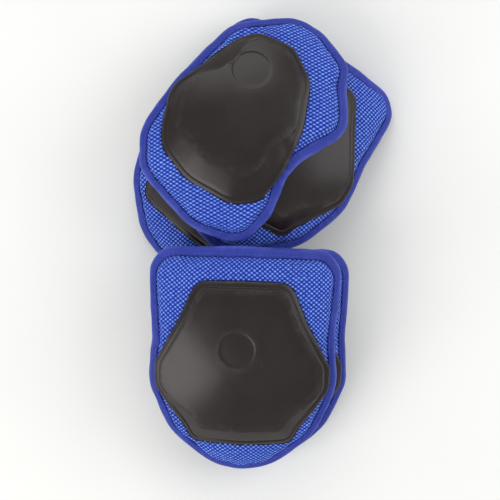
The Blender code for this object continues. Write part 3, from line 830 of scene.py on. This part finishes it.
def flank_width(pad, rays):
    """How wide the sloping border of the cap is, for each sector."""
    x, y = rays.points[:, 0], rays.points[:, 1]
    if pad.kind == "knee":
        w = 5.0 + 9.5 * smooth((-30.0 - y) / 26.0) + 1.5 * smooth((y - 30.0) / 20.0)
    else:
        low_left = smooth((-8.0 - (0.75 * x + 0.66 * y)) / 34.0)
        w = 4.8 + 15.0 * low_left + 9.0 * smooth((y - 38.0) / 18.0) * smooth((46 - x) / 30)
    return around(w, rays.count * 13.0 / rays.length)


def make_cap(pad):
    count = 560
    dx, dy, dish_r = pad.dish
    rays = Rays(pad.cap_edge, (dx, dy), count)
    rays.lean = around(rays.lean, count * 7.0 / rays.length)
    gap = np.linalg.norm(rays.points[:, None, :] - pad.edge[None, :, :], axis=2).min(1)
    inner_points = rays.ring(CAP_WALL)
    inner_gap = np.linalg.norm(inner_points[:, None, :] - pad.edge[None, :, :], axis=2).min(1)

    def seat(depth):
        low = BINDING_TOP + 0.7
        return low + (CAP_SEAT - low) * np.clip((depth - 8.6) / 2.4, 0, 1)

    foot = around(seat(gap), count * 1.5 / rays.length)
    inner_foot = around(seat(inner_gap), count * 1.5 / rays.length)
    wide = flank_width(pad, rays)
    deep = smooth((wide - 8.0) / 5.0)  # 1 where the border is broad
    shoulder = 10.25 - 1.5 * deep
    top = []

    def add(inset, h):
        top.append((rays.ring(inset), h))

    add(0.32, foot)
    add(0.08, foot + 0.22)
    add(0.0, foot + 0.6)
    for s in (0.3, 0.6, 0.85):
        add(0.5 * s, foot + 0.6 + (shoulder - 1.0 - foot - 0.6) * s)
    add(0.52, shoulder - 0.85)
    add(0.66, shoulder - 0.45)
    add(0.95, shoulder - 0.16)
    add(1.35, shoulder + 0.0)
    add(2.0, shoulder + 0.13)
    add(2.9, shoulder + 0.26)
    # A shallow moulded groove inside the lip, where the border is broad.
    lip = shoulder + 0.38
    add(3.5, lip)
    add(3.9, lip - 0.34 * deep)
    add(4.3, lip - 0.42 * deep)
    add(4.8, lip - 0.10 * deep)
    rest = np.maximum(wide - 4.8, 1.6)
    level = 12.02
    start = lip - 0.10 * deep
    for s in (0.15, 0.3, 0.5, 0.7, 0.85, 0.94):
        add(4.8 + rest * s, start + (level - start) * (s * 0.96 + 0.04 * s * s))
    add(4.8 + rest * 1.0, np.full(count, level - 0.03))
    add(4.8 + rest * 1.0 + 0.7, np.full(count, level + 0.04))
    add(4.8 + rest * 1.0 + 2.0, np.full(count, level + 0.10))
    last = top[-1][0]
    d = last - rays.centre
    length = np.linalg.norm(d, axis=1)
    unit = d / length[:, None]
    for s in np.linspace(0.1, 1.0, 11):
        r = length + (dish_r + 1.2 - length) * s
        top.append((rays.centre + unit * r[:, None], level + 0.10 + (CAP_TOP - level - 0.10) * smooth(s)))
    dish = (
        (dish_r + 0.6, 0.0), (dish_r + 0.2, -0.05), (dish_r - 0.3, -0.22), (dish_r - 0.8, -0.40),
        (dish_r - 1.4, -0.47), (dish_r - 3.0, -0.50), (dish_r * 0.55, -0.50), (dish_r * 0.3, -0.50), (dish_r * 0.1, -0.50),
    )
    for r, h in dish:
        top.append((rays.centre + unit * r, CAP_TOP + h))
    top = top[::-1]
    bottom = [(rays.centre + unit * r, CAP_TOP - CAP_WALL - 0.1) for r in (dish_r * 0.5, dish_r)]
    bottom += [(rays.centre + unit * (length + (dish_r - length) * (1 - s))[:, None], CAP_TOP - CAP_WALL - 0.15) for s in (0.35, 0.7)]
    bottom += [
        (rays.ring(CAP_WALL + 3.0), np.maximum(shoulder - CAP_WALL + 0.1, 7.75)),
        (rays.ring(CAP_WALL + 0.6), np.maximum(shoulder - CAP_WALL - 0.7, inner_foot + 0.1)),
        (rays.ring(CAP_WALL - 0.1), inner_foot + 0.05),
        (rays.ring(CAP_WALL - 0.5), np.maximum(inner_foot - 0.0, foot) - 0.0),
        (rays.ring(0.7), foot - 0.02),
    ]
    rows = len(top) + len(bottom)
    wear = np.zeros((rows, count))
    for i, (ring_xy, h) in enumerate(top):
        k = len(top) - 1 - i  # order from the foot
        wear[i] = {7: 0.8, 8: 1.0, 9: 0.8, 10: 0.4}.get(k, 0.0)
        if 22 <= k <= 24:
            wear[i] = 0.45
        if 35 <= k <= 37:
            wear[i] = 0.35
    obj = lens(pad.name + "_cap_moulded", pad, top, bottom, (dx, dy, CAP_TOP - 0.50), (dx, dy, CAP_TOP - CAP_WALL - 0.1))
    made = obj.data.attributes.new("wear", "FLOAT", "POINT")
    made.data.foreach_set("value", np.concatenate([wear.ravel(), [0.0, 0.0]]).astype(np.float32))
    return obj


def make_lining(pad):
    count = 300
    rays = Rays(pad.edge, (0.0, 0.0), count)
    top, bottom = [], []
    for s in (0.15, 0.3, 0.45, 0.6, 0.75, 0.88):
        xy = rays.dir * ((rays.radius - 9.0 / rays.lean) * s)[:, None]
        soft = 0.28 * noise(xy[:, 0], xy[:, 1], 30.0, pad.seed + 12)
        top.append((xy, 0.8))
        bottom.append((xy, -0.05 + soft * 0.9))
    for inset in (9.0, 6.5, 4.0, 1.8):
        xy = rays.ring(inset)
        soft = 0.12 * noise(xy[:, 0], xy[:, 1], 9.0, pad.seed + 13) * smooth((inset - 4) / 3)
        top.append((xy, 0.8))
        bottom.append((xy, 0.0 + soft))
    return lens(
        pad.name + "_back_lining_knit", pad, top, bottom, (0, 0, 0.8), (0, 0, -0.05),
        uv=lambda x, y: np.stack([x / 10, y / 10], axis=-1),
    )


def make_foam(pad):
    count = 200
    rays = Rays(pad.edge, (0.0, 0.0), count)
    top, bottom = [], []
    for s in (0.2, 0.4, 0.6, 0.8):
        xy = rays.dir * ((rays.radius - 18.0 / rays.lean) * s)[:, None]
        top.append((xy, 6.25))
        bottom.append((xy, 1.15))
    for inset, h in ((18.0, 6.25), (16.2, 6.18), (15.0, 5.9), (14.2, 5.3), (13.4, 4.3), (12.6, 3.1), (12.0, 2.0), (11.8, 1.5)):
        top.append((rays.ring(inset), h))
    for inset, h in ((18.0, 1.15), (14.0, 1.15), (12.3, 1.15)):
        bottom.append((rays.ring(inset), h))
    return lens(pad.name + "_foam_core_pad", pad, top, bottom, (0, 0, 6.25), (0, 0, 1.15))


def strip(name, pad, start, end, width, low, high, segments, across=10, end_round=0.0, ripple=0.0, seed=0):
    """A strip along a line with rounded edges, following the pad's curve. end_round rounds the far end's corners."""
    start, end = np.array(start, float), np.array(end, float)
    length = np.linalg.norm(end - start)
    d = (end - start) / length
    p = np.array([-d[1], d[0]])
    t = np.linspace(0, 1, segments + 1)
    half = np.full(segments + 1, width / 2)
    if end_round:
        left = (1 - t) * length
        inside = np.clip(end_round - left, 0, end_round)
        half = half - (end_round - np.sqrt(np.maximum(end_round**2 - inside**2, 0.0))) * 0.98
    thick = high - low
    section = []
    e = thick * 0.45
    for k in range(across + 1):
        section.append((-1 + 2 * k / across, 1.0))
    for k in range(across + 1):
        section.append((1 - 2 * k / across, -1.0))
    section = np.array(section)
    mid = (high + low) / 2
    rows = []
    uvs = []
    for i, s in enumerate(t):
        c = start + d * (length * s)
        w = section[:, 0] * half[i]
        soft = np.clip((half[i] - abs(w)) / max(e, 1e-6), 0, 1)
        end_soft = min(1.0, (0.25 + min(s, 1 - s) * length / max(e, 1e-6)))
        hh = mid + section[:, 1] * thick / 2 * (0.35 + 0.65 * np.sqrt(soft)) * end_soft
        if ripple:
            hh = hh + ripple * noise(np.full(len(w), length * s), w, 14.0, seed)
        xy = c[None] + p[None] * w[:, None]
        rows.append(pad.at(xy[:, 0], xy[:, 1], hh))
        uvs.append(np.stack([np.full(len(w), length * s / 10), w / 10], axis=1))
    n = len(section)
    points = np.concatenate(rows)
    uv = np.concatenate(uvs)
    faces = [strips(segments + 1, n)]
    for base, flip in ((0, False), (segments * n, True)):
        k = np.arange(across)
        quad = np.stack([base + k, base + k + 1, base + n - 2 - k, base + n - 1 - k], axis=1)
        faces.append(quad[:, ::-1] if flip else quad)
    return finished(name, points, faces, uv, smooth_angle=50)


def bar_tack(name, pad, centre, direction, width, h):
    """The close zigzag that holds a strap's end."""
    d = np.array(direction, float)
    p = np.array([-d[1], d[0]])
    number = int((width - 3) / 1.0)
    offset = (np.arange(number) - (number - 1) / 2) * 1.0
    xy = np.array(centre)[None] + p[None] * offset[:, None]
    slant = np.where(np.arange(number) % 2 == 0, 0.35, -0.35)
    way = d[None] + p[None] * slant[:, None]
    way /= np.linalg.norm(way, axis=1)[:, None]
    points, faces = capsule_run(pad, xy, np.full(number, h), way, 3.4, 0.2)
    return finished(name, points, faces)


def make_straps(pad, bodies):
    for label, (x, y), (ux, uy), width in pad.straps:
        half = width / 2
        u = np.array([ux, uy])
        side = np.array([-uy, ux])
        o = np.array([x, y])
        forward = min(reach(pad.raw_edge, o + side * s, u) for s in (-half, 0.0, half))
        back = min(reach(pad.raw_edge, o + side * s, -u) for s in (-half, 0.0, half))
        tip = forward - TAB_END_INSET
        root = tip - TAB_LENGTH
        suffix = "_" + label if label else ""
        start = o - u * (back - STRAP_END_INSET)
        strap = strip(
            pad.name + "_strap" + suffix + "_elastic", pad, start, o + u * root, width,
            STRAP_TOP - STRAP_T, STRAP_TOP, 90, 14, ripple=0.10, seed=pad.seed + 20,
        )
        placed(strap, ELASTIC, pad.name, "strap_elastic", pad.name + "_strap" + suffix)
        tack = bar_tack(pad.name + "_strap" + suffix + "_bar_tack", pad, start + u * 3.5, (ux, uy), width, STRAP_TOP - STRAP_T - 0.05)
        placed(tack, DARK_THREAD, pad.name, "strap_elastic")
        tab = strip(
            pad.name + "_hook_tab" + suffix + "_tape", pad, o + u * (root + 0.4), o + u * tip, width - 1.0,
            TAB_TOP - TAB_T, TAB_TOP, 40, 16, end_round=5.0,
        )
        body = bodies.get(pad.name + "_hook_tab" + suffix, pad.name)
        placed(tab, HOOK, body, "hook_tape", pad.name + "_hook_tab" + suffix)
        patch = strip(
            pad.name + "_loop_patch" + suffix + "_pile", pad, o + u * (root + 0.6), o + u * (tip + 1.0), width,
            LOOP_TOP - LOOP_T, LOOP_TOP, 40, 14, ripple=0.12, seed=pad.seed + 21,
        )
        placed(patch, LOOP, pad.name, "loop_tape", pad.name + "_loop_patch" + suffix)


def knee_straps(side):
    return [("upper", (0.0, 46.0), (side, 0.0), KNEE_STRAP_W), ("lower", (0.0, -30.0), (side, 0.0), KNEE_STRAP_W)]


PUFF = {}
# name, pattern, stack, layer, tilt, turn, straps, knit (repeat across, repeat along, turn in degrees)
PADS = [
    Pad("base_knee_pad", "knee", REAR_CENTRE, 0, (-1.5, -0.5), -41.0, knee_straps(1), (3.75, 3.15, 45.0)),
    Pad("middle_knee_pad", "knee", REAR_CENTRE, 1, (11.3, 6.5), -28.0, knee_straps(1), (3.75, 3.15, 30.0)),
    Pad("top_elbow_pad", "elbow", REAR_CENTRE, 2, (3.3, 8.8), 37.4, [("", (-24.0, 0.0), (0.0, 1.0), ELBOW_STRAP_W)], (4.9, 2.85, -37.4)),
    Pad("under_knee_pad", "knee", FRONT_CENTRE, 0, (1.0, -14.5), -1.0, knee_straps(1), (3.75, 3.15, 0.0)),
    Pad("front_knee_pad", "knee", FRONT_CENTRE, 1, (-2.7, -12.8), -1.2, knee_straps(-1), (3.75, 3.15, 0.0)),
]
BODY_OF = {node: body for body, nodes in frame["record"]["behaviour"]["bodies"].items() for node in nodes}
simulate(PADS)
for pad in PADS:
    body = pad.name
    cover = placed(make_cover(pad), COVER, body, "cover_mesh", pad.name + "_mesh_cover")
    placed(make_binding(pad), TAPE, body, "binding_tape", pad.name + "_edge_binding")
    placed(make_stitches(pad), THREAD, body, "binding_tape")
    placed(make_cap(pad), CAP, body, "cap_plastic", pad.name + "_cap")
    placed(make_lining(pad), LINING, body, "lining_knit", pad.name + "_back_lining")
    foam = placed(make_foam(pad), FOAM, body, "foam_padding", pad.name + "_foam_core")
    make_straps(pad, BODY_OF)


# --- the stage -------------------------------------------------------------------------
def floor():
    mesh = bpy.data.meshes.new("floor")
    s = 3.0
    mesh.from_pydata([(-s, -s, -0.0003), (s, -s, -0.0003), (s, s, -0.0003), (-s, s, -0.0003)], [], [(0, 1, 2, 3)])
    obj = bpy.data.objects.new("floor", mesh)
    bpy.context.scene.collection.objects.link(obj)
    m = Nodes("pale_floor", (0.88, 0.885, 0.865), 0.6, specular=0.3)
    cloud = m.noise(m.object(), 6.0, 2.0)
    m.out("Base Color", m.mix(m.ramp(cloud, 0.3, 0.7), (0.875, 0.88, 0.862), (0.895, 0.90, 0.882)))
    obj.data.materials.append(m.material)


def area(name, where, target, size, power, colour=(1.0, 1.0, 1.0)):
    light = bpy.data.lights.new(name, "AREA")
    light.shape = "RECTANGLE"
    light.size, light.size_y = size
    light.energy = power
    light.color = colour
    obj = bpy.data.objects.new(name, light)
    bpy.context.scene.collection.objects.link(obj)
    from mathutils import Vector

    obj.location = where
    obj.rotation_euler = (Vector(target) - Vector(where)).to_track_quat("-Z", "Y").to_euler()


floor()
world = bpy.data.worlds.new("soft_room")
bpy.context.scene.world = world
world.use_nodes = True
world.node_tree.nodes["Background"].inputs["Color"].default_value = (0.985, 0.985, 0.975, 1.0)
world.node_tree.nodes["Background"].inputs["Strength"].default_value = 0.63
area("key_left_front", (-1.25, -0.95, 1.15), (-0.01, 0.0, 0.03), (1.3, 1.3), 18.0, (1.0, 0.985, 0.96))
area("fill_right", (1.5, 0.5, 1.1), (0.0, 0.0, 0.03), (1.4, 1.4), 12.0, (0.97, 0.98, 1.0))
area("back_soft", (-0.2, 1.6, 1.2), (0.0, 0.0, 0.03), (1.4, 1.0), 8.0)

camera = bpy.data.cameras.new("camera")
camera.lens = 138.24
camera.sensor_width = 36.0
camera.clip_start, camera.clip_end = 0.05, 20.0
holder = bpy.data.objects.new("camera", camera)
bpy.context.scene.collection.objects.link(holder)
holder.location = (-0.010101, -0.005700, 1.498612)
holder.rotation_euler = (0.0, 0.0, 0.0)
bpy.context.scene.camera = holder
bpy.context.scene.view_settings.view_transform = "Standard"
bpy.context.scene.view_settings.look = "None"
